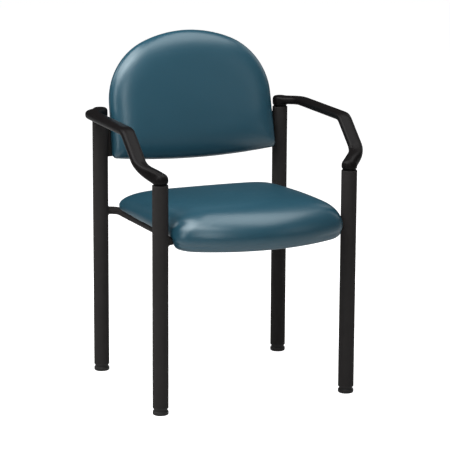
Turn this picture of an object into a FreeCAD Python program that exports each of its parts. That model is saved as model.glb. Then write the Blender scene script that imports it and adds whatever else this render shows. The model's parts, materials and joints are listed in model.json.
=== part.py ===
"""Side chair with arms: steel tube frame, moulded arms, padded vinyl seat and back.

Millimetres. +Z is up, the floor is z = 0 and the sitter faces -Y. Left and right in the names are
as seen from the front of the chair, so right is +X.
"""
import FreeCAD, Part
import math
import os
from FreeCAD import Placement, Rotation, Vector

# Legs
leg_spacing_x = 485.0
leg_spacing_y = 406.0
legs_back_y = 20.0
leg_tube_d = 38.1
leg_tube_wall = 1.6
leg_bottom_z = 18.5
front_leg_top_z = 552.5
rear_leg_top_z = 642.0
leg_top_edge_r = 1.2

# Levelling glides
glide_base_d = 38.1
glide_base_h = 10.0
glide_edge_r = 3.0
glide_neck_d = 32.8
glide_stop_gap = 0.3
stud_d = 10.0
stud_in_base = 7.0
stud_in_insert = 26.0
insert_flange_h = 2.0
insert_h = 32.0
insert_clearance = 0.05
thread_clearance = 0.08

# Seat rails and cross rails
rail_tube_d = 19.05
rail_tube_wall = 1.5
rail_run_x = 201.0
rail_bend_r = 27.0
rail_rear_z = 409.0
rail_front_z = 417.0
cross_rail_y = 115.0

# Arms
arm_out = 38.0
arm_level_rise = 16.5
arm_rear_drop = 2.5
arm_width = 35.0
arm_thick = 21.0
arm_sweep = 40.0
arm_knee_y = -89.0
arm_elbow_y = -172.0
arm_elbow_rise = 34.5
arm_elbow_in = 2.0
arm_foot_rise = 10.5
arm_foot_size = (33.0, 32.0)
arm_bend_r = [44.0, 34.0, 48.0]
arm_rear_post_h = 25.0
arm_rear_post_edge_r = 8.0
arm_front_post_h = 25.5
arm_front_post_edge_r = 15.0
arm_post_low_edge_r = 4.0
arm_core_d = 10.0
arm_core_end_bend_r = 10.0
arm_core_clearance = 0.1
plug_neck_d = 32.0
plug_neck_h = 2.5
plug_length = 36.0
plug_clearance = 0.05
arm_bolt_d = 6.0
arm_bolt_head_d = 11.0
arm_bolt_head_h = 5.0
arm_bolt_bite = 14.0

# Seat cushion, in the tilted plane of the rail tops (y to the rear, height above the rails)
seat_front_y = -302.0
seat_rear_y = 186.0
seat_front_half = 215.0
seat_rear_half = 211.0
seat_front_bow_r = 430.0
seat_rear_bow_r = 1500.0
seat_front_corner_r = (84.0, 62.0)
seat_rear_corner_r = (40.0, 46.0)
seat_low_h = (-4.0, -34.0)
seat_belt_h = (13.0, -4.0)
seat_top_h = (46.0, 64.0)
seat_roll_in = 19.0
seat_crown_reach = 112.0
seat_crown_power = 3.6
cover_thick = 1.2
soft_gap = 0.3
dust_cover_thick = 0.8
seat_board_thick = 12.0
seat_board_inset = 8.5
lip_gap = 2.0
lip_bend_r = 42.0
lip_bend_turn = 55.0

# Back cushion, in its own leaning plane (y up the back, height to the front)
back_lean = 12.4
back_bottom_z = 543.5
back_plane_ahead = 7.5
back_low_y = -16.4
back_top_y = 304.0
back_low_half = 218.5
back_top_half = 213.5
back_low_bow_r = 1850.0
back_top_bow_r = 300.0
back_low_corner_r = (11.0, 30.0)
back_shoulder_r = (164.0, 90.0)
back_low_h = 0.0
back_belt_h = 19.0
back_top_h = 50.0
back_roll_in = 8.0
back_crown_reach = 90.0
back_crown_power = 4.2
back_board_thick = 12.0
back_board_inset = 13.0
back_panel_thick = 3.0
back_panel_inset = 11.0

# How the edge of a cushion rolls, from its lower rim over the belt to the crown
roll_angles = (90, 60, 30)
crown_steps = 8

# How finely a bend is drawn
bend_steps = 6

# How far a cutting block runs past the part, and how near two places count as one
tool_reach = 600.0
same_place = 0.001

# Back brackets
bracket_thick = 4.0
bracket_low_y = 3.0
bracket_height = 88.0
bracket_inner_x = 140.0
bracket_weld_overlap = 4.0
bracket_corner_r = 8.0

# Bolts and tee nuts that hold the seat and the back
bolt_d = 6.0
bolt_clearance = 0.3
bolt_head_d = 12.0
bolt_head_h = 4.0
bolt_head_edge_r = 1.5
bolt_socket_sides = 6
bolt_socket_across = 4.0
bolt_socket_depth = 2.2
bolt_bite = 9.0
tee_nut_flange_d = 20.0
tee_nut_flange_h = 1.5
tee_nut_barrel_d = 8.0
tee_nut_barrel_h = 9.0
seat_bolt_x = 120.0
back_bolt_x = 174.0
back_bolt_rise = (22.0, 66.0)

# Places worked out from the sizes above
leg_r = leg_tube_d / 2
tube_bore_r = leg_r - leg_tube_wall
leg_x = leg_spacing_x / 2
front_leg_y = legs_back_y - leg_spacing_y / 2
rear_leg_y = legs_back_y + leg_spacing_y / 2
rail_r = rail_tube_d / 2
seat_tilt = math.degrees(math.atan2(rail_front_z - rail_rear_z, leg_spacing_y))
rail_mid_z = (rail_front_z + rail_rear_z) / 2
seat_plane_z = rail_mid_z + rail_r / math.cos(math.radians(seat_tilt))
seat_place = Placement(Vector(0, legs_back_y, seat_plane_z), Rotation(Vector(1, 0, 0), -seat_tilt))
back_place = Placement(
    Vector(0, rear_leg_y - back_plane_ahead, back_bottom_z), Rotation(Vector(1, 0, 0), 90 - back_lean)
)
arm_rear_seat_z = rear_leg_top_z + plug_neck_h
arm_front_seat_z = front_leg_top_z + plug_neck_h
arm_level_z = arm_rear_seat_z + arm_level_rise
arm_elbow_z = arm_front_seat_z + arm_elbow_rise
seat_board_low = soft_gap + dust_cover_thick
lip_back_y = -leg_spacing_y / 2 - rail_r - lip_gap
sides = {"left": -1, "right": 1}
legs = {
    "front_left": (-leg_x, front_leg_y, front_leg_top_z),
    "front_right": (leg_x, front_leg_y, front_leg_top_z),
    "rear_left": (-leg_x, rear_leg_y, rear_leg_top_z),
    "rear_right": (leg_x, rear_leg_y, rear_leg_top_z),
}


def rod(diameter, low, high, x=0.0, y=0.0):
    """An upright cylinder between two heights."""
    return Part.makeCylinder(diameter / 2, high - low, Vector(x, y, low))


def circles_at(shape, height):
    """The round edges of an upright shape at a height."""
    rounds = [e for e in shape.Edges if isinstance(e.Curve, Part.Circle)]
    return [e for e in rounds if abs(e.CenterOfMass.z - height) < same_place]


def mirrored(shape):
    """The same shape on the other side of the chair."""
    return shape.mirror(Vector(0, 0, 0), Vector(1, 0, 0))


def on_side(shape, side):
    """A shape made for the +X side, moved to the named side."""
    return shape if sides[side] > 0 else mirrored(shape)


def placed(shape, place):
    """A copy of a shape, carried from a local plane to the chair."""
    moved = shape.copy()
    moved.Placement = place.multiply(shape.Placement)
    return moved


def line(a, b):
    """A straight edge."""
    return Part.LineSegment(a, b).toShape()


def path_bends(points, radii):
    """The tangent arcs that round the corners of a path: a list of (point, heading) for each."""
    bends = []
    for before, corner, after, radius in zip(points, points[1:], points[2:], radii):
        come = (corner - before).normalize()
        go = (after - corner).normalize()
        turn = come.getAngle(go)
        inward = (go - come).normalize()
        centre = corner + inward * (radius / math.cos(turn / 2))
        spoke = (corner - come * (radius * math.tan(turn / 2)) - centre).normalize()
        bend = []
        for step in range(bend_steps + 1):
            angle = turn * step / bend_steps
            point = centre + (spoke * math.cos(angle) + come * math.sin(angle)) * radius
            bend.append((point, come * math.cos(angle) - spoke * math.sin(angle)))
        bends.append(bend)
    return bends


def round_bar(corners, radii, diameter):
    """A round bar that follows the corners with bends of the given radii."""
    edges = []
    last = corners[0]
    for bend in path_bends(corners, radii):
        start, middle, end = [bend[step][0] for step in (0, bend_steps // 2, bend_steps)]
        edges.append(line(last, start))
        edges.append(Part.Arc(start, middle, end).toShape())
        last = end
    edges.append(line(last, corners[-1]))
    profile = Part.Wire(Part.makeCircle(diameter / 2, corners[0], corners[1] - corners[0]))
    return Part.Wire(edges).makePipeShell([profile], True, False)


def oval(centre, across, up, half_width, half_height):
    """A closed smooth oval of four quarter arcs."""
    near = math.sqrt(0.5)
    far = 1 - near
    long_r = (half_width - half_height * far / near) / (near - far * far / near)
    short_r = (half_height - long_r * far) / near
    join_x = long_r * near
    join_y = short_r * near
    corners = [(join_x, -join_y), (join_x, join_y), (-join_x, join_y), (-join_x, -join_y)]
    middles = [(half_width, 0), (0, half_height), (-half_width, 0), (0, -half_height)]
    edges = []
    for i in range(4):
        trio = [corners[i], middles[i], corners[(i + 1) % 4]]
        edges.append(Part.Arc(*[centre + across * u + up * v for u, v in trio]).toShape())
    return Part.Wire(edges)


def bow_corner(line_start, heading, inward, bow_centre, bow_r, corner_r, low_end):
    """The corner arc between a straight side and an end bow: its two ends and its middle."""
    offset = line_start + inward * corner_r - bow_centre
    half = offset.dot(heading)
    root = math.sqrt(half * half - offset.dot(offset) + (bow_r - corner_r) ** 2)
    along = -half - root if low_end else -half + root
    centre = line_start + heading * along + inward * corner_r
    outward = (centre - bow_centre).normalize()
    on_line = line_start + heading * along
    on_bow = bow_centre + outward * bow_r
    middle = centre + (outward - inward).normalize() * corner_r
    return on_line, middle, on_bow


def pad_outline(low, high):
    """A closed outline, symmetric in x: an end bow, a corner and a straight side, then the same again.

    low and high are (end y, half width there, bow radius, corner radius) of the two ends.
    """
    low_y, low_half, low_bow, low_corner = low
    high_y, high_half, high_bow, high_corner = high
    start = Vector(low_half, low_y, 0)
    heading = (Vector(high_half, high_y, 0) - start).normalize()
    inward = Vector(-heading.y, heading.x, 0)
    low_centre = Vector(0, low_y + low_bow, 0)
    high_centre = Vector(0, high_y - high_bow, 0)
    a_line, a_mid, a_bow = bow_corner(start, heading, inward, low_centre, low_bow, low_corner, True)
    b_line, b_mid, b_bow = bow_corner(start, heading, inward, high_centre, high_bow, high_corner, False)

    def flip(p):
        return Vector(-p.x, p.y, p.z)

    edges = [
        Part.Arc(flip(a_bow), Vector(0, low_y, 0), a_bow),
        Part.Arc(a_bow, a_mid, a_line),
        Part.LineSegment(a_line, b_line),
        Part.Arc(b_line, b_mid, b_bow),
        Part.Arc(b_bow, Vector(0, high_y, 0), flip(b_bow)),
        Part.Arc(flip(b_bow), flip(b_mid), flip(b_line)),
        Part.LineSegment(flip(b_line), flip(a_line)),
        Part.Arc(flip(a_line), flip(a_mid), flip(a_bow)),
    ]
    return Part.Wire([edge.toShape() for edge in edges])


def corner_at(radii, inset, reach):
    """A corner's radius at an inset: it goes from its rim value to its crown value."""
    rim_r, crown_r = radii
    return rim_r + (crown_r - rim_r) * inset / reach


def seat_outline(inset):
    """The seat's plan, drawn in by an inset all round."""
    front_corner = corner_at(seat_front_corner_r, inset, seat_crown_reach)
    rear_corner = corner_at(seat_rear_corner_r, inset, seat_crown_reach)
    front = (seat_front_y + inset, seat_front_half - inset, seat_front_bow_r, front_corner)
    rear = (seat_rear_y - inset, seat_rear_half - inset, seat_rear_bow_r, rear_corner)
    return pad_outline(front, rear)


def back_outline(inset):
    """The back's D-shaped outline, drawn in by an inset all round."""
    low_corner = corner_at(back_low_corner_r, inset, back_crown_reach)
    shoulder = corner_at(back_shoulder_r, inset, back_crown_reach)
    low = (back_low_y + inset, back_low_half - inset, back_low_bow_r, low_corner)
    top = (back_top_y - inset, back_top_half - inset, back_top_bow_r - inset, shoulder)
    return pad_outline(low, top)


def edge_roll(roll_in, reach, power):
    """Levels of a cushion from its lower rim up: (inset, share below the belt, share above the belt)."""
    levels = []
    for angle in roll_angles:
        turn = math.radians(angle)
        levels.append((roll_in * (1 - math.cos(turn)), math.sin(turn), 0.0))
    for step in range(crown_steps + 1):
        share = (step / crown_steps) ** 2
        levels.append((reach * share, 0.0, math.sqrt(1 - (1 - share) ** power)))
    return levels


def level_height(low, belt, top, below, above):
    """The height of one level of a cushion."""
    return belt - below * (belt - low) + above * (top - belt)


def seat_form(skin):
    """The seat cushion's outer form, or the form that lies a skin's thickness inside it."""
    wires = []
    for inset, below, above in edge_roll(seat_roll_in, seat_crown_reach, seat_crown_power):
        rear_h, front_h = [
            level_height(low + skin, belt, top - skin, below, above)
            for low, belt, top in zip(seat_low_h, seat_belt_h, seat_top_h)
        ]
        tilt = math.degrees(math.atan2(rear_h - front_h, seat_rear_y - seat_front_y))
        pivot = Placement(Vector(0, seat_rear_y, rear_h), Rotation(Vector(1, 0, 0), tilt))
        from_rear = Placement(Vector(0, -seat_rear_y, 0), Rotation())
        wires.append(placed(seat_outline(inset + skin), pivot.multiply(from_rear)))
    return Part.makeLoft(wires, True, True)


def back_form(skin):
    """The back cushion's outer form, or the form that lies a skin's thickness inside it."""
    wires = []
    for inset, below, above in edge_roll(back_roll_in, back_crown_reach, back_crown_power):
        height = level_height(back_low_h + skin, back_belt_h, back_top_h - skin, below, above)
        wires.append(placed(back_outline(inset + skin), Placement(Vector(0, 0, height), Rotation())))
    return Part.makeLoft(wires, True, True)


def slab(outline, low, high):
    """A flat plate of the given outline between two heights."""
    plate = Part.Face(outline).extrude(Vector(0, 0, high - low))
    plate.translate(Vector(0, 0, low))
    return plate


def board_bend(rise):
    """The bend of the board's line at the front, seen from the side: its start, middle and end."""
    points = []
    for share in (0.0, 0.5, 1.0):
        angle = share * math.radians(lip_bend_turn)
        y = lip_back_y - (lip_bend_r + rise) * math.sin(angle)
        points.append(Vector(0, y, (lip_bend_r + rise) * math.cos(angle) - lip_bend_r))
    return points


def side_extrusion(edges):
    """A side profile carried across the whole width of the chair."""
    solid = Part.Face(Part.Wire(edges)).extrude(Vector(2 * tool_reach, 0, 0))
    solid.translate(Vector(-tool_reach, 0, 0))
    return solid


def seat_underside(top, front_y):
    """All the space under the seat, up to a height and forward to the back of the front lip."""
    block = Part.makeBox(2 * tool_reach, 2 * tool_reach, tool_reach)
    block.translate(Vector(-tool_reach, front_y, top - tool_reach))
    return block


def seat_plate(low, high, inset):
    """A plate that follows the board's line, cut to the seat's plan."""
    under = board_bend(low)
    over = board_bend(high)
    rear_low = Vector(0, seat_rear_y, low)
    rear_high = Vector(0, seat_rear_y, high)
    edges = [
        line(rear_low, under[0]),
        Part.Arc(*under).toShape(),
        line(under[2], over[2]),
        Part.Arc(over[2], over[1], over[0]).toShape(),
        line(over[0], rear_high),
        line(rear_high, rear_low),
    ]
    return side_extrusion(edges).common(slab(seat_outline(inset), -tool_reach, tool_reach))


def bolt_holes(places, diameter, low, high):
    """Round holes, as one tool, at the given places of a local plane."""
    return Part.makeCompound([rod(diameter, low, high, x, y) for x, y in places])


def tee_nuts(places, top):
    """Tee nuts: a thin flange at the given height, with a threaded barrel below it."""
    nuts = []
    for x, y in places:
        flange = rod(tee_nut_flange_d, top - tee_nut_flange_h, top, x, y)
        barrel = rod(tee_nut_barrel_d, top - tee_nut_barrel_h, top, x, y)
        bore = rod(bolt_d, top - tee_nut_barrel_h, top, x, y)
        nuts.append(flange.fuse(barrel).removeSplitter().cut(bore))
    return nuts


def tee_nut_pockets(places, top, board_low):
    """The recess, barrel hole and bolt hole that a board has at each tee nut."""
    tools = []
    for x, y in places:
        tools.append(rod(tee_nut_flange_d, top - tee_nut_flange_h, top, x, y))
        tools.append(rod(tee_nut_barrel_d, top - tee_nut_barrel_h, top, x, y))
        tools.append(rod(bolt_d + bolt_clearance, board_low, top, x, y))
    return Part.makeCompound(tools)


def hex_socket(low, high, x, y):
    """The flat-sided recess of a bolt head."""
    step = 2 * math.pi / bolt_socket_sides
    radius = bolt_socket_across / 2 / math.cos(step / 2)
    corners = []
    for corner in range(bolt_socket_sides + 1):
        angle = step * corner
        corners.append(Vector(x + radius * math.cos(angle), y + radius * math.sin(angle), low))
    return Part.Face(Part.makePolygon(corners)).extrude(Vector(0, 0, high - low))


def bolts(places, seat_of_head, tip):
    """Socket-head bolts that point up the local plane, with the head below its seat."""
    made = []
    face = seat_of_head - bolt_head_h
    for x, y in places:
        shank = rod(bolt_d, seat_of_head, tip, x, y)
        head = rod(bolt_head_d, face, seat_of_head, x, y)
        rim = circles_at(head, face)
        head = head.makeFillet(bolt_head_edge_r, rim).cut(hex_socket(face, face + bolt_socket_depth, x, y))
        made.append(head.fuse(shank).removeSplitter())
    return made


def save(name, shape):
    """One file for each piece."""
    shape.exportStep("parts/" + name + ".step")


def make_legs():
    """Four upright tubes."""
    for name, (x, y, top) in legs.items():
        tube = rod(leg_tube_d, leg_bottom_z, top, x, y)
        tube = tube.makeFillet(leg_top_edge_r, circles_at(tube, top))
        bore = rod(2 * tube_bore_r, leg_bottom_z, top, x, y)
        save("leg_" + name, tube.cut(bore))


def make_glides():
    """Threaded inserts in the tube ends, and the glides that screw into them."""
    flange_low = leg_bottom_z - insert_flange_h
    neck_top = flange_low - glide_stop_gap
    stud_low = glide_base_h - stud_in_base
    thread_d = stud_d + 2 * thread_clearance
    for name, (x, y, _) in legs.items():
        flange = rod(leg_tube_d, flange_low, leg_bottom_z, x, y)
        body = rod(2 * (tube_bore_r - insert_clearance), leg_bottom_z, flange_low + insert_h, x, y)
        thread = rod(thread_d, flange_low, flange_low + insert_h, x, y)
        save("foot_insert_" + name, flange.fuse(body).removeSplitter().cut(thread))
        stud = rod(stud_d, stud_low, flange_low + stud_in_insert, x, y)
        base = rod(glide_base_d, 0, glide_base_h, x, y)
        base = base.makeFillet(glide_edge_r, circles_at(base, 0) + circles_at(base, glide_base_h))
        neck = rod(glide_neck_d, glide_base_h, neck_top, x, y)
        save("glide_base_" + name, base.fuse(neck).removeSplitter().cut(stud))
        save("glide_stud_" + name, stud)


def leg_bodies():
    """The space that the leg tubes fill, to cope other pieces against."""
    return Part.makeCompound([rod(leg_tube_d, leg_bottom_z, top, x, y) for x, y, top in legs.values()])


def rail_corners():
    """The corners of the seat rail's line on the +X side."""
    return [
        Vector(leg_x, rear_leg_y, rail_rear_z),
        Vector(rail_run_x, rear_leg_y, rail_rear_z),
        Vector(rail_run_x, front_leg_y, rail_front_z),
        Vector(leg_x, front_leg_y, rail_front_z),
    ]


def make_rails():
    """Bent side rails welded to the legs, and the two cross rails between them."""
    corners = rail_corners()
    radii = [rail_bend_r, rail_bend_r]
    outer = round_bar(corners, radii, rail_tube_d)
    inner = round_bar(corners, radii, rail_tube_d - 2 * rail_tube_wall)
    rail = outer.cut(inner).cut(leg_bodies())
    for side in sides:
        save("seat_rail_" + side, on_side(rail, side))
    both = outer.fuse(mirrored(outer))
    holes = bolt_holes(seat_bolt_places(), bolt_d + bolt_clearance, -tool_reach, tool_reach)
    for name, y in (("front", -cross_rail_y), ("rear", cross_rail_y)):
        start = Vector(-rail_run_x, y, -rail_r)
        bar = Part.makeCylinder(rail_r, 2 * rail_run_x, start, Vector(1, 0, 0))
        bore = Part.makeCylinder(rail_r - rail_tube_wall, 2 * rail_run_x, start, Vector(1, 0, 0))
        save("cross_rail_" + name, placed(bar.cut(bore).cut(holes), seat_place).cut(both))


def arm_corners():
    """The corners of the arm's centre line on the +X side, from the rear leg forward to the front leg."""
    out_x = leg_x + arm_out
    return [
        Vector(leg_x, rear_leg_y, arm_rear_seat_z),
        Vector(leg_x, rear_leg_y, arm_level_z - arm_rear_drop),
        Vector(out_x, rear_leg_y - arm_sweep, arm_level_z),
        Vector(out_x, legs_back_y + arm_knee_y, arm_level_z),
        Vector(out_x - arm_elbow_in, legs_back_y + arm_elbow_y, arm_elbow_z),
        Vector(leg_x, front_leg_y, arm_front_seat_z + arm_foot_rise),
        Vector(leg_x, front_leg_y, arm_front_seat_z),
    ]


def arm_section(point, heading, width, thick):
    """An oval across the arm."""
    across = heading.cross(Vector(0, 0, 1)).normalize()
    up = across.cross(heading).normalize()
    return oval(point, across, up, width / 2, thick / 2)


def arm_post(seat, height, edge_r):
    """An upright end of the arm over a leg."""
    high = seat.z + height
    post = rod(leg_tube_d, seat.z, high, seat.x, seat.y)
    post = post.makeFillet(edge_r, circles_at(post, high))
    return post.makeFillet(arm_post_low_edge_r, circles_at(post, seat.z))


def arm_form():
    """The moulded arm on the +X side: a bar from the rear post forward and down to the front post."""
    rear_seat, *corners, front_seat = arm_corners()
    bar_size = (arm_width, arm_thick)
    sizes = [(bar_size, bar_size), (bar_size, bar_size), (bar_size, arm_foot_size)]
    wires = [arm_section(corners[0], corners[1] - corners[0], *bar_size)]
    for bend, (size_in, size_out) in zip(path_bends(corners, arm_bend_r), sizes):
        for step, (point, heading) in enumerate(bend):
            share = step / bend_steps
            size = [a + (b - a) * share for a, b in zip(size_in, size_out)]
            wires.append(arm_section(point, heading, *size))
    wires.append(arm_section(corners[-1], corners[-1] - corners[-2], *arm_foot_size))
    bar = Part.makeLoft(wires, True, True).cut(rod(tool_reach, 0, front_seat.z, front_seat.x, front_seat.y))
    rear_post = arm_post(rear_seat, arm_rear_post_h, arm_rear_post_edge_r)
    front_post = arm_post(front_seat, arm_front_post_h, arm_front_post_edge_r)
    return bar.fuse([rear_post, front_post]).removeSplitter()


def make_arms():
    """Moulded arms on steel cores, with plugs in the tube tops and bolts up through the plugs."""
    bolt_list = []
    for name, (x, y, top) in legs.items():
        head_low = top - plug_length
        neck = rod(plug_neck_d, top, top + plug_neck_h, x, y)
        body = rod(2 * (tube_bore_r - plug_clearance), head_low, top, x, y)
        hole = rod(arm_bolt_d + bolt_clearance, head_low, top + plug_neck_h, x, y)
        save("arm_plug_" + name, neck.fuse(body).removeSplitter().cut(hole))
        shank = rod(arm_bolt_d, head_low, top + plug_neck_h + arm_bolt_bite, x, y)
        head = rod(arm_bolt_head_d, head_low - arm_bolt_head_h, head_low, x, y)
        bolt_list.append(head.fuse(shank).removeSplitter())
    bolt_set = Part.makeCompound(bolt_list)
    radii = [arm_core_end_bend_r, *arm_bend_r, arm_core_end_bend_r]
    core = round_bar(arm_corners(), radii, arm_core_d).cut(bolt_set)
    core_space = round_bar(arm_corners(), radii, arm_core_d + 2 * arm_core_clearance)
    arm = arm_form().cut(core_space).cut(bolt_set)
    for side in sides:
        save("arm_" + side, on_side(arm, side))
        save("arm_core_" + side, on_side(core, side))
    save("arm_bolts", bolt_set)


def seat_bolt_places():
    """Where the seat is bolted to the cross rails."""
    return [(x, y) for x in (-seat_bolt_x, seat_bolt_x) for y in (-cross_rail_y, cross_rail_y)]


def make_seat():
    """Padded seat: board, foam, cover, dust cover and fasteners, on the tilted rails."""
    places = seat_bolt_places()
    board_top = seat_board_low + seat_board_thick
    board = seat_plate(seat_board_low, board_top, seat_board_inset)
    board = board.cut(tee_nut_pockets(places, board_top, seat_board_low))
    dust_cover = slab(seat_outline(seat_board_inset + soft_gap), soft_gap, seat_board_low)
    dust_cover = dust_cover.common(seat_underside(seat_board_low, lip_back_y))
    dust_cover = dust_cover.cut(bolt_holes(places, bolt_d + bolt_clearance, 0, seat_board_low))
    cover_core = seat_form(cover_thick).cut(seat_underside(soft_gap, lip_back_y - cover_thick))
    cover = seat_form(0.0).cut(seat_underside(seat_board_low, lip_back_y)).cut(cover_core)
    board_space = seat_plate(seat_board_low - soft_gap, board_top + soft_gap, seat_board_inset - soft_gap)
    foam_skin = cover_thick + soft_gap
    foam = seat_form(foam_skin).cut(seat_underside(seat_board_low, lip_back_y - foam_skin)).cut(board_space)
    pieces = {
        "seat_board": board,
        "seat_dust_cover": dust_cover,
        "seat_cover": cover,
        "seat_foam": foam,
        "seat_t_nuts": Part.makeCompound(tee_nuts(places, board_top)),
        "seat_bolts": Part.makeCompound(bolts(places, -rail_tube_d, seat_board_low + bolt_bite)),
    }
    for name, shape in pieces.items():
        save(name, placed(shape, seat_place))


def back_bolt_places():
    """Where the back is bolted to its brackets."""
    return [(sign * back_bolt_x, bracket_low_y + y) for sign in sides.values() for y in back_bolt_rise]


def make_back():
    """Padded back: board, foam, cover, rear panel, brackets and fasteners, in the leaning plane."""
    places = back_bolt_places()
    panel_low = -back_panel_thick
    plate_low = panel_low - bracket_thick
    board = slab(back_outline(back_board_inset), 0, back_board_thick)
    board = board.cut(tee_nut_pockets(places, back_board_thick, 0))
    through = bolt_holes(places, bolt_d + bolt_clearance, plate_low, 0)
    panel = slab(back_outline(back_panel_inset), panel_low, 0).cut(through)
    board_space = slab(back_outline(back_board_inset - soft_gap), -tool_reach, back_board_thick + soft_gap)
    cover = back_form(0.0).cut(back_form(cover_thick)).cut(board_space)
    foam = back_form(cover_thick + soft_gap).cut(board_space)
    pieces = {
        "back_board": board,
        "back_rear_panel": panel,
        "back_cover": cover,
        "back_foam": foam,
        "back_t_nuts": Part.makeCompound(tee_nuts(places, back_board_thick)),
        "back_bolts": Part.makeCompound(bolts(places, plate_low, bolt_bite)),
    }
    for name, shape in pieces.items():
        save(name, placed(shape, back_place))
    reach = leg_x - leg_r + bracket_weld_overlap - bracket_inner_x
    plate = Part.makeBox(reach, bracket_height, bracket_thick)
    inner = [e for e in plate.Edges if e.BoundBox.XMax < same_place and e.BoundBox.YLength < same_place]
    plate = plate.makeFillet(bracket_corner_r, inner)
    plate.translate(Vector(bracket_inner_x, bracket_low_y, plate_low))
    bracket = placed(plate.cut(through), back_place).cut(leg_bodies())
    for side in sides:
        save("back_bracket_" + side, on_side(bracket, side))


os.makedirs("parts", exist_ok=True)
make_legs()
make_glides()
make_rails()
make_arms()
make_seat()
make_back()
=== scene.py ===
"""Looks of the side chair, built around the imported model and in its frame.

The named sizes are in millimetres unless they say otherwise. The scene itself is in metres.
"""

import json
import math

import bpy
import numpy as np
from mathutils import Matrix, Quaternion, Vector


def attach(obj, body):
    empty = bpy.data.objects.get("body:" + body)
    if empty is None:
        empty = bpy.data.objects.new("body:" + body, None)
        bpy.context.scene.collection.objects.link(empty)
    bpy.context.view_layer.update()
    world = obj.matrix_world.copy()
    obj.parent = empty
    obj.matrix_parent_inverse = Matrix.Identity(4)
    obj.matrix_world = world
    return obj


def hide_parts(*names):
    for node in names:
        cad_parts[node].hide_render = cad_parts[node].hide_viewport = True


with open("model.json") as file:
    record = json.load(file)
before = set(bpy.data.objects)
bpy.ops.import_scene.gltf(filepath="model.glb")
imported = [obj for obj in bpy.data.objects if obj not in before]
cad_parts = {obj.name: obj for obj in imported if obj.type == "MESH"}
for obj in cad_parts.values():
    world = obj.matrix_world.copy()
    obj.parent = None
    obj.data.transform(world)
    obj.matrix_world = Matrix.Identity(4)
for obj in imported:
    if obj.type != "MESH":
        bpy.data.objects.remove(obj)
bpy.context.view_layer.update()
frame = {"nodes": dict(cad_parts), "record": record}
scene = bpy.context.scene
nodes = frame["nodes"]

# Sizes shared with the model
mm = 0.001
leg_x = 242.5
leg_r = 19.05
front_leg_y = -183.0
rear_leg_y = 223.0
legs_back_y = 20.0
leg_spacing_y = 406.0
arm_seat_z = {"front": 555.0, "rear": 644.5}
rail_r = 9.525
rail_run_x = 201.0
rail_z = {"front": 417.0, "rear": 409.0}
cross_rail_y = 115.0
tool_reach = 600.0

# Seat cushion, in the tilted plane of the rail tops
seat_front_y = -302.0
seat_rear_y = 186.0
seat_front_half = 221.0
seat_rear_half = 215.0
seat_bow_r = (430.0, 1500.0)
seat_front_corner_r = (58.0, 64.0)
seat_rear_corner_r = (36.0, 24.0)
seat_low_h = (-4.0, -34.0)
seat_belt_h = (13.0, -4.0)
seat_top_h = (48.5, 68.0)
seat_mid_rise = 5.0
seat_roll_in = 19.0
seat_crown_reach = 180.0
seat_crown_power = (3.6, 3.0)
seat_mid_power = 1.8
seat_dome = 1.0
seat_under = 1.1
lip_back_y = -214.525
dust_cover_inset = 8.8
dust_cover_width_share = 0.976
dust_cover_h = 0.5
dust_cover_thick = 0.5
dust_cover_wave = 0.12
dust_cover_wave_run = (17.0, 23.0)

# Back cushion, in its own leaning plane
back_lean = 12.4
back_bottom_z = 543.5
back_plane_ahead = 7.5
back_low_y = -16.4
back_top_y = 304.0
back_low_half = 218.5
back_top_half = 213.5
back_bow_r = (1850.0, 300.0)
back_low_corner_r = (11.0, 30.0)
back_shoulder_r = (164.0, 90.0)
back_belt_h = 19.0
back_top_h = 50.0
back_roll_in = 8.0
back_crown_reach = 90.0
back_crown_power = 2.9
back_dome = 1.0
back_panel_inset = 11.0
back_panel_thick = 3.0
back_panel_edge = 2.4
bracket_y = (3.0, 91.0)
bracket_faces_h = (-3.0, -7.0)

# How the cushions are drawn and how their covers swell
voxel = 4.0
cover_hold = (3.0, 31.0)
cover_draw_in = 4.0
cover_pressure = 3.0
cover_frames = 20
cover_quality = 6
cover_mass = 0.3
cover_held_share = 0.01
swell_height = 1.5
form_smoothing = 4
swell_smoothing = 60
tuck_h = 17.0
tuck_width = 3.5
tuck_depth = 1.6
tuck_x = (105.0, 165.0)
tuck_y = (-150.0, -200.0)

# Arms
arm_out = 38.0
arm_level_z = 661.0
arm_rear_z = 658.5
arm_size = (35.0, 21.0)
arm_sweep = 40.0
arm_knee_y = -89.0
arm_elbow_y = -172.0
arm_elbow_z = 589.5
arm_elbow_in = 2.0
arm_foot_rise = 10.5
arm_foot_size = (33.0, 32.0)
arm_bend_r = (44.0, 34.0, 60.0)
arm_taper = (40.0, 20.0)
arm_squareness = 2.9
# Each end of the arm: its height and the radius of its top edge
arm_post = {"rear": (25.0, 8.0), "front": (25.5, 15.0)}
arm_post_low_edge_r = 4.0
arm_voxel = 1.5
arm_smoothing = 14

# Weld beads
bead_r = 2.0
bead_ripple = 3.2
bead_swell = 0.14
bracket_weld_margin = 4.0

# How finely the pieces are drawn. An outline has steps along its bows, corners and sides
seat_outline_steps = (20, 16, 26)
back_outline_steps = (22, 16, 20)
roll_steps = 9
crown_steps = 26
cap_steps = 12
arm_bend_steps = 12
arm_rings = 130
arm_around = 48
arm_post_low_steps = 6
arm_post_top_steps = 12
arm_post_around = 64
bead_around = 10
butt_weld_steps = 72
bracket_weld_steps = 60
panel_edge_steps = 6
dust_cover_rings = 26
dust_cover_last_ring = 0.04

# Surfaces
sharp_edge = math.radians(30)
pebble_smoothness = 0.45
tone_detail = 4.0
relief_detail = 2.0
rough_to_tone_scale = 5.0

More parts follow.
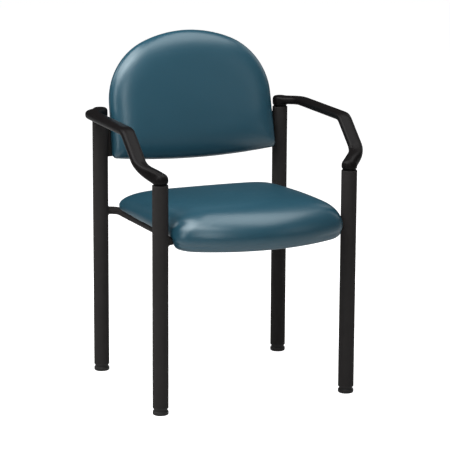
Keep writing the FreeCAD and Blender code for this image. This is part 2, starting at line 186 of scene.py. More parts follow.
# Floor and sky. A glow is what each kind of ray sees on top of the light that falls there
floor_tone = 0.62
floor_glow = {"Is Camera Ray": 0.95, "Is Glossy Ray": 0.18, "Is Transmission Ray": 0.95}
floor_half_m = 30.0
sky_strength = {"front": 0.11, "rear": 0.0}
sky_glow = {"Is Camera Ray": 1.0, "Is Glossy Ray": 0.02, "Is Transmission Ray": 1.0}

# Camera, fitted to the photograph, with its places in metres and its roll in degrees
camera_lens = 186.29
camera_sensor = 36.0
camera_reach_m = 100.0
camera_place = Vector((-2.1607, -5.0919, 1.6512))
camera_target = Vector((0.0066, 0.0200, 0.3948))
camera_roll = 0.2692


# Meshes

def mesh_object(name, verts, faces):
    """A new smooth-shaded object from points in metres."""
    mesh = bpy.data.meshes.new(name)
    mesh.from_pydata([tuple(v) for v in verts], [], faces)
    mesh.validate()
    mesh.update()
    mesh.shade_smooth()
    obj = bpy.data.objects.new(name, mesh)
    scene.collection.objects.link(obj)
    return obj


def ring_faces(rings, around, closed=False):
    """Quads between successive rings of points, and from the last ring to the first where closed."""
    faces = []
    for r in range(rings if closed else rings - 1):
        a = r * around
        b = (r + 1) % rings * around
        for i in range(around):
            j = (i + 1) % around
            faces.append((a + i, a + j, b + j, b + i))
    return faces


def cap_faces(rings, around):
    """The end faces of an open run of rings."""
    last = (rings - 1) * around
    return [tuple(range(around))[::-1], tuple(range(last, last + around))]


def ring_solid(name, rings):
    """A closed object in metres from rings of points in millimetres, capped at both ends."""
    count, around = len(rings), len(rings[0])
    faces = ring_faces(count, around) + cap_faces(count, around)
    return mesh_object(name, np.concatenate(rings) * mm, faces)


def apply_modifiers(obj):
    """Bakes an object's modifiers into its mesh."""
    bpy.context.view_layer.update()
    deps = bpy.context.evaluated_depsgraph_get()
    mesh = bpy.data.meshes.new_from_object(obj.evaluated_get(deps))
    old = obj.data
    obj.modifiers.clear()
    obj.data = mesh
    bpy.data.meshes.remove(old)
    mesh.shade_smooth()


def boolean(obj, operation, other):
    """Joins a second object to the first or cuts it away, and removes the second."""
    step = obj.modifiers.new(operation, "BOOLEAN")
    step.operation = operation
    step.solver = "EXACT"
    step.object = other
    apply_modifiers(obj)
    bpy.data.objects.remove(other)


def even_mesh(obj, size):
    """Redraws an object's surface with faces of one size."""
    target = obj.copy()
    target.data = obj.data.copy()
    scene.collection.objects.link(target)
    even = obj.modifiers.new("even", "REMESH")
    even.mode = "VOXEL"
    even.voxel_size = size * mm
    wrap = obj.modifiers.new("wrap", "SHRINKWRAP")
    wrap.target = target
    apply_modifiers(obj)
    bpy.data.objects.remove(target)


def point_array(obj, name):
    """The positions or the normals of an object's points."""
    values = np.empty(len(obj.data.vertices) * 3, np.float32)
    obj.data.vertices.foreach_get(name, values)
    return values.reshape(-1, 3).astype(float)


def set_points(obj, values):
    """Moves an object's points."""
    obj.data.vertices.foreach_set("co", values.astype(np.float32).ravel())
    obj.data.update()


def smoothed(obj, values, rounds):
    """Values at an object's points, evened out along its edges."""
    ends = np.empty(len(obj.data.edges) * 2, np.int32)
    obj.data.edges.foreach_get("vertices", ends)
    a, b = ends.reshape(-1, 2).T
    count = np.bincount(ends, minlength=len(values))[:, None]
    for _ in range(rounds):
        total = np.column_stack([
            np.bincount(a, values[b, k], len(values)) + np.bincount(b, values[a, k], len(values))
            for k in range(3)
        ])
        values = (values + total / count) / 2
    return values


def carried(points, matrix):
    """Points in millimetres of a local plane, carried to the chair in metres."""
    m = np.array(matrix)
    return np.asarray(points, float) * mm @ m[:3, :3].T + m[:3, 3]


def ease(value):
    """A smooth step from 0 to 1."""
    share = np.clip(value, 0.0, 1.0)
    return share * share * (3 - 2 * share)


# Cushion outlines

def arc(centre, start, end, count):
    """Points on the short arc from start to end, without the end."""
    a0 = math.atan2(start[1] - centre[1], start[0] - centre[0])
    a1 = math.atan2(end[1] - centre[1], end[0] - centre[0])
    turn = (a1 - a0 + math.pi) % (2 * math.pi) - math.pi
    radius = math.hypot(start[0] - centre[0], start[1] - centre[1])
    angles = a0 + turn * np.arange(count) / count
    return [(centre[0] + radius * math.cos(a), centre[1] + radius * math.sin(a)) for a in angles]


def bow_corner(start, heading, inward, bow_centre, bow_r, corner_r, sign):
    """The corner arc between a straight side and an end bow: its centre and its two ends."""
    offset = start + inward * corner_r - bow_centre
    half = offset.dot(heading)
    along = -half + sign * math.sqrt(half * half - offset.dot(offset) + (bow_r - corner_r) ** 2)
    centre = start + heading * along + inward * corner_r
    outward = (centre - bow_centre) / np.linalg.norm(centre - bow_centre)
    return centre, start + heading * along, bow_centre + outward * bow_r


def pad_outline(low, high, counts):
    """A closed outline, symmetric in x. low and high are (end y, half width, bow radius, corner radius)."""
    low_y, low_half, low_bow, low_corner = low
    high_y, high_half, high_bow, high_corner = high
    start = np.array([low_half, low_y])
    heading = np.array([high_half, high_y]) - start
    heading /= np.linalg.norm(heading)
    inward = np.array([-heading[1], heading[0]])
    low_centre = np.array([0.0, low_y + low_bow])
    high_centre = np.array([0.0, high_y - high_bow])
    a_centre, a_line, a_bow = bow_corner(start, heading, inward, low_centre, low_bow, low_corner, -1)
    b_centre, b_line, b_bow = bow_corner(start, heading, inward, high_centre, high_bow, high_corner, 1)
    bow_n, corner_n, line_n = counts
    right = arc(low_centre, (0.0, low_y), a_bow, bow_n)
    right += arc(a_centre, a_bow, a_line, corner_n)
    right += [tuple(a_line + (b_line - a_line) * i / line_n) for i in range(line_n)]
    right += arc(b_centre, b_line, b_bow, corner_n)
    right += arc(high_centre, b_bow, (0.0, high_y), bow_n)
    left = [(-x, y) for x, y in right[:0:-1]]
    return np.array(right + [(0.0, high_y)] + left)


def between(pair, share):
    """A value part of the way from the first of a pair to the second."""
    return pair[0] + (pair[1] - pair[0]) * share


def share_of(pair, value):
    """How far a value lies on the way from the first of a pair to the second."""
    return (value - pair[0]) / (pair[1] - pair[0])


def seat_outline(inset):
    """The seat's plan, drawn in by an inset all round."""
    share = inset / seat_crown_reach
    front_corner = between(seat_front_corner_r, share)
    rear_corner = between(seat_rear_corner_r, share)
    front = (seat_front_y + inset, seat_front_half - inset, seat_bow_r[0], front_corner)
    rear = (seat_rear_y - inset, seat_rear_half - inset, seat_bow_r[1], rear_corner)
    return pad_outline(front, rear, seat_outline_steps)


def back_outline(inset):
    """The back's D-shaped outline, drawn in by an inset all round."""
    share = inset / back_crown_reach
    low_corner = between(back_low_corner_r, share)
    shoulder = between(back_shoulder_r, share)
    low = (back_low_y + inset, back_low_half - inset, back_bow_r[0], low_corner)
    top = (back_top_y - inset, back_top_half - inset, back_bow_r[1] - inset, shoulder)
    return pad_outline(low, top, back_outline_steps)


def cushion_levels(roll_in, reach):
    """Levels from the lower rim up: (inset, share below the belt, share of the crown's reach)."""
    levels = []
    for step in range(roll_steps):
        turn = math.pi / 2 * (1 - step / roll_steps)
        levels.append((roll_in * (1 - math.cos(turn)), math.sin(turn), 0.0))
    for step in range(crown_steps + 1):
        share = (step / crown_steps) ** 2
        levels.append((reach * share, 0.0, share))
    return levels


def crown(share, power):
    """How far the crown has risen at a share of its reach; a higher power gives a squarer edge."""
    return np.sqrt(1 - (1 - share) ** power)


def close_pad(name, rings, dome, matrix):
    """A closed cushion from its rings: the last ring is drawn in to a low dome, the first is capped."""
    top = rings[-1]
    centre = top.mean(axis=0)
    all_rings = list(rings)
    for step in range(1, cap_steps):
        k = 1 - step / cap_steps
        inner = centre + (top - centre) * k
        inner[:, 2] += dome * (1 - k * k) ** 2
        all_rings.append(inner)
    around = len(top)
    points = list(np.concatenate(all_rings))
    faces = ring_faces(len(all_rings), around)
    points.append(centre + np.array([0.0, 0.0, dome]))
    tip = len(points) - 1
    first_of_last = (len(all_rings) - 1) * around
    faces += [(first_of_last + i, first_of_last + (i + 1) % around, tip) for i in range(around)]
    faces.append(tuple(range(around))[::-1])
    return mesh_object(name, carried(points, matrix), faces)


seat_tilt = math.atan2(rail_z["front"] - rail_z["rear"], leg_spacing_y)
seat_plane_z = (rail_z["front"] + rail_z["rear"]) / 2 + rail_r / math.cos(seat_tilt)
seat_matrix = Matrix.Translation(
    Vector((0, legs_back_y, seat_plane_z)) * mm
) @ Matrix.Rotation(-seat_tilt, 4, "X")
back_matrix = Matrix.Translation(
    Vector((0, rear_leg_y - back_plane_ahead, back_bottom_z)) * mm
) @ Matrix.Rotation(math.radians(90 - back_lean), 4, "X")


def block(name, low, high):
    """A plain block used as a cutting tool, from its lowest corner to its highest, in millimetres."""
    (x0, y0, z0), (x1, y1, z1) = low, high
    ring = [(x0, y0), (x1, y0), (x1, y1), (x0, y1)]
    return ring_solid(name, [np.array([(x, y, z) for x, y in ring], float) for z in (z0, z1)])


def seat_low_edge(y):
    """The height of the seat's lower edge along the seat, before the space for the board is cut away."""
    return between(seat_low_h, share_of((seat_rear_y, seat_front_y), y))


def seat_rim(y):
    """The height of the seat's lower rim along the seat."""
    rim = seat_low_edge(y)
    return np.where(y > lip_back_y, np.maximum(rim, seat_under), rim)


def back_rim(y):
    """The height of the back's rear rim, in its own plane."""
    return np.zeros_like(y)


def seat_shape():
    """The seat cushion's full form, with the space for the board cut away below."""
    rings = []
    for inset, below, above in cushion_levels(seat_roll_in, seat_crown_reach):
        flat = seat_outline(inset)
        ahead = share_of((seat_rear_y, seat_front_y), flat[:, 1])
        low, belt, top = [between(pair, ahead) for pair in (seat_low_h, seat_belt_h, seat_top_h)]
        middle = 4 * ahead * (1 - ahead)
        top = top + seat_mid_rise * middle
        rise = crown(above, between(seat_crown_power, ahead) + seat_mid_power * middle)
        rings.append(np.column_stack([flat, belt - below * (belt - low) + rise * (top - belt)]))
    pad = close_pad("seat_cushion", rings, seat_dome, seat_matrix)
    cutter = block("cutter", (-tool_reach, lip_back_y, -tool_reach), (tool_reach, tool_reach, seat_under))
    cutter.matrix_world = seat_matrix
    boolean(pad, "DIFFERENCE", cutter)
    return pad


def back_shape():
    """The back cushion's full form."""
    rings = []
    for inset, below, above in cushion_levels(back_roll_in, back_crown_reach):
        height = back_belt_h * (1 - below) + crown(above, back_crown_power) * (back_top_h - back_belt_h)
        flat = back_outline(inset)
        rings.append(np.column_stack([flat, np.full(len(flat), height)]))
    return close_pad("back_cushion", rings, back_dome, back_matrix)


def run_cloth(pad, held):
    """Blows up a cushion's cover as cloth, with some of its points held."""
    group = pad.vertex_groups.new(name="held")
    group.add([int(i) for i in held], 1.0, "REPLACE")
    cloth = pad.modifiers.new("cloth", "CLOTH")
    settings = cloth.settings
    settings.quality = cover_quality
    settings.mass = cover_mass
    settings.use_pressure = True
    settings.uniform_pressure_force = cover_pressure
    settings.effector_weights.gravity = 0.0
    settings.vertex_group_mass = "held"
    cloth.point_cache.frame_start = 1
    cloth.point_cache.frame_end = cover_frames
    for step in range(1, cover_frames + 1):
        scene.frame_set(step)
    apply_modifiers(pad)
    scene.frame_set(1)
    pad.vertex_groups.clear()


def swell(pad, matrix, rim):
    """Lets a cushion's cover swell as cloth from a drawn-in start, and keeps its gentle unevenness."""
    even_mesh(pad, voxel)
    full = point_array(pad, "co")
    inverse = np.array(matrix.inverted())
    local = (full @ inverse[:3, :3].T + inverse[:3, 3]) / mm
    free = ease(share_of(cover_hold, local[:, 2] - rim(local[:, 1])))[:, None]
    full += (smoothed(pad, full, form_smoothing) - full) * free
    set_points(pad, full)
    start = full - point_array(pad, "normal") * free * cover_draw_in * mm
    set_points(pad, start)
    run_cloth(pad, np.flatnonzero(free[:, 0] < cover_held_share))
    moved = smoothed(pad, point_array(pad, "co") - full, swell_smoothing)
    peak = np.linalg.norm(moved, axis=1).max()
    set_points(pad, full + moved * free * swell_height * mm / peak)
    return pad, local


def tuck(pad, local):
    """Presses in the crease where the seat's cover is drawn under at the front corners."""
    x, y, height = local.T
    off_line = (height - seat_low_edge(y) - tuck_h) / tuck_width
    reach = ease(share_of(tuck_x, np.abs(x))) * ease(share_of(tuck_y, y))
    depth = tuck_depth * mm * np.exp(-(off_line ** 2)) * reach
    set_points(pad, point_array(pad, "co") - point_array(pad, "normal") * depth[:, None])


# Arms

def arm_line():
    """The line of the arm's bar on the +X side, from the rear post to the front one, with its thickness."""
    out_x = leg_x + arm_out
    corners = np.array([
        (leg_x, rear_leg_y, arm_rear_z),
        (out_x, rear_leg_y - arm_sweep, arm_level_z),
        (out_x, legs_back_y + arm_knee_y, arm_level_z),
        (out_x - arm_elbow_in, legs_back_y + arm_elbow_y, arm_elbow_z),
        (leg_x, front_leg_y, arm_seat_z["front"] + arm_foot_rise),
    ])
    points = [corners[0]]
    for before, corner, after, radius in zip(corners, corners[1:], corners[2:], arm_bend_r):
        a = (before - corner) / np.linalg.norm(before - corner)
        b = (after - corner) / np.linalg.norm(after - corner)
        half = math.acos(np.clip(a.dot(b), -1, 1)) / 2
        reach = radius / math.tan(half)
        middle = (a + b) / np.linalg.norm(a + b)
        centre = corner + middle * radius / math.sin(half)
        first, last = corner + a * reach - centre, corner + b * reach - centre
        sweep = math.pi - 2 * half
        for step in range(arm_bend_steps + 1):
            t = step / arm_bend_steps
            turned = first * math.sin((1 - t) * sweep) + last * math.sin(t * sweep)
            points.append(centre + turned / math.sin(sweep))
    points.append(corners[-1])
    points = np.array(points)
    run = np.concatenate([[0.0], np.cumsum(np.linalg.norm(np.diff(points, axis=0), axis=1))])
    even_run = np.linspace(0.0, run[-1], arm_rings)
    line = np.column_stack([np.interp(even_run, run, points[:, k]) for k in range(3)])
    elbow_run = run[-2]
    share = ease((even_run - elbow_run + arm_taper[0]) / (arm_taper[0] + arm_taper[1]))
    return line, share


def arm_bar():
    """The bar of the arm on the +X side."""
    line, share = arm_line()
    heading = np.gradient(line, axis=0)
    heading /= np.linalg.norm(heading, axis=1, keepdims=True)
    angles = np.linspace(0.0, 2 * math.pi, arm_around, endpoint=False)
    power = 2 / arm_squareness
    u = np.sign(np.cos(angles)) * np.abs(np.cos(angles)) ** power
    v = np.sign(np.sin(angles)) * np.abs(np.sin(angles)) ** power
    rings = []
    for point, along, s in zip(line, heading, share):
        across = np.cross(along, (0.0, 0.0, 1.0))
        across /= np.linalg.norm(across)
        up = np.cross(across, along)
        width, thick = between((np.array(arm_size), np.array(arm_foot_size)), s)
        rings.append(point + np.outer(u * width / 2, across) + np.outer(v * thick / 2, up))
    return ring_solid("arm_bar", rings)


def arm_end(end, leg_y):
    """The upright end of the arm over a leg on the +X side."""
    height, edge_r = arm_post[end]
    low = arm_seat_z[end]
    profile = []
    for step in range(arm_post_low_steps + 1):
        turn = math.pi / 2 * step / arm_post_low_steps
        profile.append((leg_r - arm_post_low_edge_r * (1 - math.sin(turn)),
                        low + arm_post_low_edge_r * (1 - math.cos(turn))))
    for step in range(arm_post_top_steps + 1):
        turn = math.pi / 2 * step / arm_post_top_steps
        profile.append((leg_r - edge_r * (1 - math.cos(turn)),
                        low + height - edge_r * (1 - math.sin(turn))))
    angles = np.linspace(0.0, 2 * math.pi, arm_post_around, endpoint=False)
    rings = []
    for r, z in profile:
        x, y = leg_x + r * np.cos(angles), leg_y + r * np.sin(angles)
        rings.append(np.column_stack([x, y, np.full(arm_post_around, z)]))
    return ring_solid("arm_end", rings)


def arm_pair():
    """Both moulded arms, each in one smooth piece."""
    right = arm_bar()
    below = block("below", (-tool_reach, -tool_reach, 0.0), (tool_reach, 0.0, arm_seat_z["front"]))
    boolean(right, "DIFFERENCE", below)
    boolean(right, "UNION", arm_end("rear", rear_leg_y))
    boolean(right, "UNION", arm_end("front", front_leg_y))
    even_mesh(right, arm_voxel)
    set_points(right, smoothed(right, point_array(right, "co"), arm_smoothing))
    right.name = "arm_right_skin"
    faces = [tuple(p.vertices)[::-1] for p in right.data.polygons]
    left = mesh_object("arm_left_skin", point_array(right, "co") * (-1, 1, 1), faces)
    return {"left": left, "right": right}


# Welds and the parts behind and below the cushions

def bead(points, outward, closed):
    """Rings of a rippled weld bead along a line, in millimetres."""
    run = np.concatenate([[0.0], np.cumsum(np.linalg.norm(np.diff(points, axis=0), axis=1))])
    angles = np.linspace(0.0, 2 * math.pi, bead_around, endpoint=False)
    if closed:
        along = np.roll(points, -1, axis=0) - np.roll(points, 1, axis=0)
    else:
        along = np.gradient(points, axis=0)
    rings = []
    for point, forward, out, place in zip(points, along, outward, run):
        side = np.cross(forward, out)
        side /= np.linalg.norm(side)
        lift = np.cross(side, forward)
        lift /= np.linalg.norm(lift)
        size = bead_r * (1 + bead_swell * math.sin(2 * math.pi * place / bead_ripple))
        rings.append(point + size * (np.outer(np.cos(angles), side) + np.outer(np.sin(angles), lift)))
    return rings


def butt_weld(place, along, across, up, tube_r):
    """The line where a rail meets the side of a tube of a given radius, and its outward directions."""
    turns = np.linspace(0.0, 2 * math.pi, butt_weld_steps, endpoint=False)
    sideways = np.outer(rail_r * np.cos(turns), across) + np.outer(rail_r * np.sin(turns), up)
    depth = np.sqrt(np.maximum(tube_r ** 2 - (rail_r * np.cos(turns)) ** 2, 0.0))
    points = place + sideways + np.outer(depth, along)
    return points, sideways + np.outer(np.full(butt_weld_steps, rail_r), along)


def weld_object():
    """Weld beads: rails to legs, cross rails to side rails, brackets to rear legs."""
    verts, faces = [], []

    def add(rings, closed):
        base = sum(len(v) for v in verts)
        count, around = len(rings), len(rings[0])
        bead_faces = ring_faces(count, around, closed)
        if not closed:
            bead_faces += cap_faces(count, around)
        faces.extend(tuple(base + i for i in face) for face in bead_faces)
        verts.append(np.concatenate(rings))

    x_axis, y_axis, z_axis = np.eye(3)
    for side in (-1, 1):
        for end, y in (("front", front_leg_y), ("rear", rear_leg_y)):
            place = np.array([side * leg_x, y, rail_z[end]])
            points, outward = butt_weld(place, -side * x_axis, y_axis, z_axis, leg_r)
            add(bead(points, outward, True), True)
        for y in (-cross_rail_y, cross_rail_y):
            place = np.array([side * rail_run_x, y, -rail_r])
            points, outward = butt_weld(place, -side * x_axis, z_axis, y_axis, rail_r)
            points = carried(points, seat_matrix) / mm
            outward = outward @ np.array(seat_matrix)[:3, :3].T
            add(bead(points, outward, True), True)
        for face_h, rearward in zip(bracket_faces_h, (-1.0, 1.0)):
            up = np.linspace(bracket_y[0] + bracket_weld_margin, bracket_y[1] - bracket_weld_margin,
                             bracket_weld_steps)
            line = np.column_stack([np.zeros_like(up), up, np.full_like(up, face_h)])
            line = carried(line, back_matrix) / mm
            inward = np.sqrt(np.maximum(leg_r ** 2 - (line[:, 1] - rear_leg_y) ** 2, 0.0))
            line[:, 0] = side * (leg_x - inward)
            outward = np.tile((-side, rearward, 0.0), (bracket_weld_steps, 1))
            add(bead(line, outward, False), False)
    return mesh_object("weld_beads", np.concatenate(verts) * mm, faces)


def panel_object():
    """The moulded rear panel of the back, with a rounded edge."""
    rings = []
    levels = [(0.0, 0.0)]
    for step in range(panel_edge_steps + 1):
        turn = math.pi / 2 * step / panel_edge_steps
        levels.append((back_panel_edge * (1 - math.cos(turn)),
                       -back_panel_thick + back_panel_edge * (1 - math.sin(turn))))
    for inset, height in levels:
        flat = back_outline(back_panel_inset + inset)
        rings.append(np.column_stack([flat, np.full(len(flat), height)]))
    rings = [carried(ring, back_matrix)[::-1] / mm for ring in rings]
    return ring_solid("back_panel", rings)


def dust_cover_object():
    """The thin cloth under the seat, drawn tight, and its flat outline."""
    outline = seat_outline(dust_cover_inset)
    outline[:, 0] *= dust_cover_width_share
    outline[:, 1] = np.maximum(outline[:, 1], lip_back_y)
    centre = np.array([0.0, outline[:, 1].mean()])
    rings = []
    for k in np.linspace(1.0, dust_cover_last_ring, dust_cover_rings):
        flat = centre + (outline - centre) * k
        wave = dust_cover_wave * np.sin(flat / dust_cover_wave_run).prod(axis=1)
        rings.append(carried(np.column_stack([flat, dust_cover_h + wave]), seat_matrix))
    around = len(outline)
    faces = ring_faces(len(rings), around)
    faces.append(tuple(range((len(rings) - 1) * around, len(rings) * around)))
    cloth = mesh_object("dust_cover", np.concatenate(rings), faces)
    body = cloth.modifiers.new("body", "SOLIDIFY")
    body.thickness = dust_cover_thick * mm
    body.offset = 0.0
    x, y = outline.T * mm
    area = abs(x.dot(np.roll(y, 1)) - y.dot(np.roll(x, 1))) / 2
    return cloth, (float(np.ptp(x)), float(np.ptp(y))), float(area)


# Materials

def noise(tree, place, scale, detail=3.0, stretch=None):
    """A cloud texture, drawn out along some axes where a stretch is given."""
    if stretch is not None:
        mapping = tree.nodes.new("ShaderNodeMapping")
        mapping.inputs["Scale"].default_value = stretch
        tree.links.new(place, mapping.inputs["Vector"])
        place = mapping.outputs["Vector"]
    node = tree.nodes.new("ShaderNodeTexNoise")
    node.inputs["Scale"].default_value = scale
    node.inputs["Detail"].default_value = detail
    tree.links.new(place, node.inputs["Vector"])
    return node.outputs["Fac"]


def pebbles(tree, place, scale):
    """A pebble texture: the softened distance from the middle of a cell."""
    node = tree.nodes.new("ShaderNodeTexVoronoi")
    node.feature = "SMOOTH_F1"
    node.inputs["Scale"].default_value = scale
    node.inputs["Smoothness"].default_value = pebble_smoothness
    tree.links.new(place, node.inputs["Vector"])
    return node.outputs["Distance"]


def spread(tree, value, low, high):
    """Maps a value from 0..1 to another span."""
    node = tree.nodes.new("ShaderNodeMapRange")
    node.inputs["To Min"].default_value = low
    node.inputs["To Max"].default_value = high
    tree.links.new(value, node.inputs["Value"])
    return node.outputs["Result"]


def two_tone(tree, factor, first, second):
    """A colour that goes from one to another."""
    node = tree.nodes.new("ShaderNodeMix")
    node.data_type = "RGBA"
    colours = [socket for socket in node.inputs if socket.type == "RGBA"]
    colours[0].default_value = (*first, 1.0)
    colours[1].default_value = (*second, 1.0)
    tree.links.new(factor, node.inputs[0])
    return [socket for socket in node.outputs if socket.type == "RGBA"][0]


def surface(name, tones, tone_scale, rough, relief, specular=0.3, shine=(1.0, 1.0, 1.0),
            metallic=0.0, stretch=None):
    """A node material: two tones in soft clouds, uneven roughness, and layers of relief.

    Each relief layer is (texture, scale per metre, depth in metres, strength).
    """
    mat = bpy.data.materials.new(name)
    mat.use_nodes = True
    tree = mat.node_tree
    shader = tree.nodes["Principled BSDF"]
    place = tree.nodes.new("ShaderNodeTexCoord").outputs["Object"]
    clouds = noise(tree, place, tone_scale, tone_detail, stretch)
    tree.links.new(two_tone(tree, clouds, *tones), shader.inputs["Base Color"])
    patches = noise(tree, place, tone_scale * rough_to_tone_scale)
    tree.links.new(spread(tree, patches, *rough), shader.inputs["Roughness"])
    shader.inputs["Specular IOR Level"].default_value = specular
    shader.inputs["Specular Tint"].default_value = (*shine, 1.0)
    shader.inputs["Metallic"].default_value = metallic
    normal = None
    for texture, scale, depth, strength in relief:
        node = tree.nodes.new("ShaderNodeBump")
        node.inputs["Strength"].default_value = strength
        node.inputs["Distance"].default_value = depth
        if texture == "pebbles":
            height = pebbles(tree, place, scale)
        else:
            height = noise(tree, place, scale, relief_detail, stretch)
        tree.links.new(height, node.inputs["Height"])
        if normal is not None:
            tree.links.new(normal, node.inputs["Normal"])
        normal = node.outputs["Normal"]
    tree.links.new(normal, shader.inputs["Normal"])
    return mat


finish = {
    "vinyl": surface(
        "vinyl", ((0.0112, 0.055, 0.083), (0.0136, 0.062, 0.093)), 7.0, (0.29, 0.35),
        [("noise", 14.0, 0.0010, 0.10), ("pebbles", 900.0, 0.00010, 0.22)],
        specular=0.8, shine=(0.84, 0.96, 1.0)),
    "powder_coat": surface(
        "powder_coat", ((0.0235, 0.0219, 0.0216), (0.0300, 0.0280, 0.0276)), 24.0, (0.56, 0.64),
        [("noise", 650.0, 0.00008, 0.20)], specular=0.05),
    "arm_plastic": surface(
        "arm_plastic", ((0.0050, 0.0044, 0.0045), (0.0070, 0.0062, 0.0063)), 30.0, (0.30, 0.38),
        [("pebbles", 620.0, 0.00010, 0.30)], specular=0.08),
    "foot_plastic": surface(
        "foot_plastic", ((0.0150, 0.0142, 0.0138), (0.0210, 0.0200, 0.0195)), 40.0, (0.45, 0.55),
        [("pebbles", 900.0, 0.00006, 0.25)], specular=0.25),
    "panel_plastic": surface(
        "panel_plastic", ((0.0100, 0.0100, 0.0100), (0.0140, 0.0140, 0.0140)), 20.0, (0.52, 0.62),
        [("pebbles", 480.0, 0.00015, 0.40)], specular=0.3),
    "zinc_steel": surface(
        "zinc_steel", ((0.50, 0.50, 0.49), (0.62, 0.61, 0.59)), 60.0, (0.28, 0.42),
        [("noise", 900.0, 0.00005, 0.20)], metallic=1.0),
    "black_screws": surface(
        "black_screws", ((0.012, 0.012, 0.012), (0.020, 0.020, 0.019)), 90.0, (0.34, 0.46),
        [("noise", 1200.0, 0.00004, 0.20)], specular=0.4),
    "core_steel": surface(
        "core_steel", ((0.20, 0.19, 0.18), (0.30, 0.28, 0.27)), 50.0, (0.35, 0.55),
        [("noise", 700.0, 0.00006, 0.25)], metallic=1.0),
    "plywood": surface(
        "plywood", ((0.34, 0.21, 0.11), (0.50, 0.34, 0.19)), 30.0, (0.55, 0.70),
        [("noise", 120.0, 0.00020, 0.30)], stretch=(1.0, 0.06, 8.0)),
    "foam": surface(
        "foam", ((0.62, 0.55, 0.36), (0.72, 0.66, 0.46)), 12.0, (0.85, 0.95),
        [("pebbles", 700.0, 0.00040, 0.60)], specular=0.1),
    "dust_cloth": surface(
        "dust_cloth", ((0.0090, 0.0090, 0.0095), (0.0180, 0.0180, 0.0185)), 160.0, (0.88, 0.98),
        [("noise", 1400.0, 0.00010, 0.50)], specular=0.1),
}


def paint(obj, mat):
    """Gives an object one material."""
    obj.data.materials.clear()
    obj.data.materials.append(mat)


def add_piece(obj, slot, *stands_for):
    """Finishes a piece and fixes it to the chair in place of the nodes it stands for."""
    paint(obj, finish[slot])
    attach(obj, "chair")
    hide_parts(*stands_for)


for sub in frame["record"]["subparts"]:
    obj = nodes[sub["node"]]
    obj.data.shade_smooth()
    obj.data.set_sharp_from_angle(angle=sharp_edge)
    paint(obj, finish[sub["material_slot"]])

# Pieces
seat, seat_local = swell(seat_shape(), seat_matrix, seat_rim)
tuck(seat, seat_local)
back, _ = swell(back_shape(), back_matrix, back_rim)
for cushion, covered in ((seat, ("seat_cover", "seat_foam")), (back, ("back_cover", "back_foam"))):
    fine = cushion.modifiers.new("fine", "SUBSURF")
    fine.levels = 1
    fine.render_levels = 1
    add_piece(cushion, "vinyl", *covered)
for side, arm in arm_pair().items():
    add_piece(arm, "arm_plastic", "arm_" + side)
add_piece(weld_object(), "powder_coat")
add_piece(panel_object(), "panel_plastic", "back_rear_panel")
dust_cover, flat_size, flat_area = dust_cover_object()
add_piece(dust_cover, "dust_cloth", "seat_dust_cover")


# Floor, light and camera

def ray_glow(tree, shares, strength=None):
    """A strength that adds a share for each kind of ray to the strength given."""
    path = tree.nodes.new("ShaderNodeLightPath")
    for ray, share in shares.items():
        level = tree.nodes.new("ShaderNodeMath")
        level.operation = "MULTIPLY_ADD"
        tree.links.new(path.outputs[ray], level.inputs[0])
        level.inputs[1].default_value = share
        level.inputs[2].default_value = 0.0
        if strength is not None:
            tree.links.new(strength, level.inputs[2])
        strength = level.outputs[0]
    return strength


def floor_material():
    """Pale floor that reads white in the open and keeps the chair's shadow."""
    mat = bpy.data.materials.new("floor")
    mat.use_nodes = True
    tree = mat.node_tree
    tree.nodes.clear()
    out = tree.nodes.new("ShaderNodeOutputMaterial")
    plain = tree.nodes.new("ShaderNodeBsdfDiffuse")
    plain.inputs["Color"].default_value = (floor_tone, floor_tone, floor_tone, 1.0)
    glow = tree.nodes.new("ShaderNodeEmission")
    tree.links.new(ray_glow(tree, floor_glow), glow.inputs["Strength"])
    both = tree.nodes.new("ShaderNodeAddShader")
    tree.links.new(plain.outputs[0], both.inputs[0])
    tree.links.new(glow.outputs[0], both.inputs[1])
    tree.links.new(both.outputs[0], out.inputs["Surface"])
    return mat


floor_corners = [(x * floor_half_m, y * floor_half_m, 0.0) for x, y in ((-1, -1), (1, -1), (1, 1), (-1, 1))]
floor = mesh_object("floor", floor_corners, [(0, 1, 2, 3)])
paint(floor, floor_material())

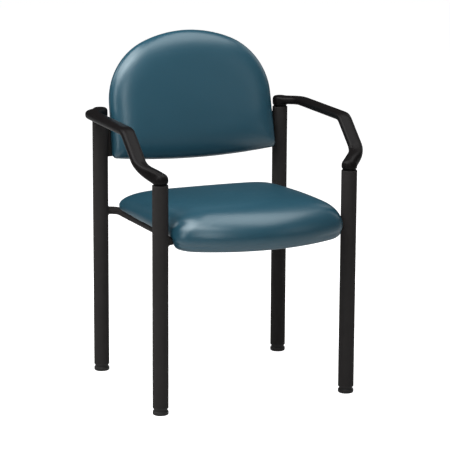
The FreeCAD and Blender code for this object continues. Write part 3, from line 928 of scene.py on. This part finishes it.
world = bpy.data.worlds.new("studio")
scene.world = world
world.use_nodes = True
sky = world.node_tree
background = sky.nodes["Background"]
background.inputs["Color"].default_value = (1.0, 1.0, 1.0, 1.0)
heading = sky.nodes.new("ShaderNodeSeparateXYZ")
sky.links.new(sky.nodes.new("ShaderNodeTexCoord").outputs["Generated"], heading.inputs["Vector"])
fall = sky.nodes.new("ShaderNodeMapRange")
fall.inputs["From Min"].default_value = -1.0
fall.inputs["To Min"].default_value = sky_strength["front"]
fall.inputs["To Max"].default_value = sky_strength["rear"]
sky.links.new(heading.outputs["Y"], fall.inputs["Value"])
sky.links.new(ray_glow(sky, sky_glow, fall.outputs["Result"]), background.inputs["Strength"])


def softbox(name, place, aim, size, power):
    """A rectangular soft lamp that points at a place. Metres and watts."""
    data = bpy.data.lights.new(name, "AREA")
    data.shape = "RECTANGLE"
    data.size, data.size_y = size
    data.energy = power
    lamp = bpy.data.objects.new(name, data)
    lamp.location = place
    lamp.visible_camera = False
    lamp.rotation_mode = "QUATERNION"
    lamp.rotation_quaternion = (Vector(aim) - Vector(place)).to_track_quat("-Z", "Y")
    scene.collection.objects.link(lamp)


softbox("top_left_light", (-1.15, -0.2, 2.35), (-0.2, -0.1, 0.5), (1.9, 1.6), 58.0)
softbox("top_right_light", (0.58, -0.3, 2.35), (0.2, -0.1, 0.5), (1.5, 1.4), 21.0)
softbox("left_light", (-2.5, -0.95, 1.5), (-0.1, 0.1, 0.6), (0.8, 1.4), 10.0)
softbox("high_front_light", (-1.2, -2.0, 3.6), (0.0, -0.28, 0.47), (2.1, 0.9), 34.0)
softbox("front_light", (-1.0, -2.95, 1.8), (-0.1, 0.2, 0.65), (0.7, 1.4), 11.0)
softbox("front_right_light", (1.75, -2.0, 1.4), (0.0, 0.2, 0.65), (0.9, 1.2), 2.0)
softbox("right_light", (2.5, 1.0, 1.8), (0.1, 0.1, 0.55), (1.8, 1.6), 8.0)
softbox("rear_light", (-2.4, 2.1, 2.3), (0.0, 0.2, 0.5), (1.6, 1.2), 16.0)

camera_data = bpy.data.cameras.new("camera")
camera_data.lens = camera_lens
camera_data.sensor_width = camera_sensor
camera_data.clip_end = camera_reach_m
camera = bpy.data.objects.new("camera", camera_data)
scene.collection.objects.link(camera)
camera.rotation_mode = "QUATERNION"
camera.location = camera_place
camera.rotation_quaternion = (camera_target - camera_place).to_track_quat("-Z", "Y") @ Quaternion(
    (0.0, 0.0, 1.0), math.radians(camera_roll)
)
scene.camera = camera
scene.view_settings.view_transform = "Standard"
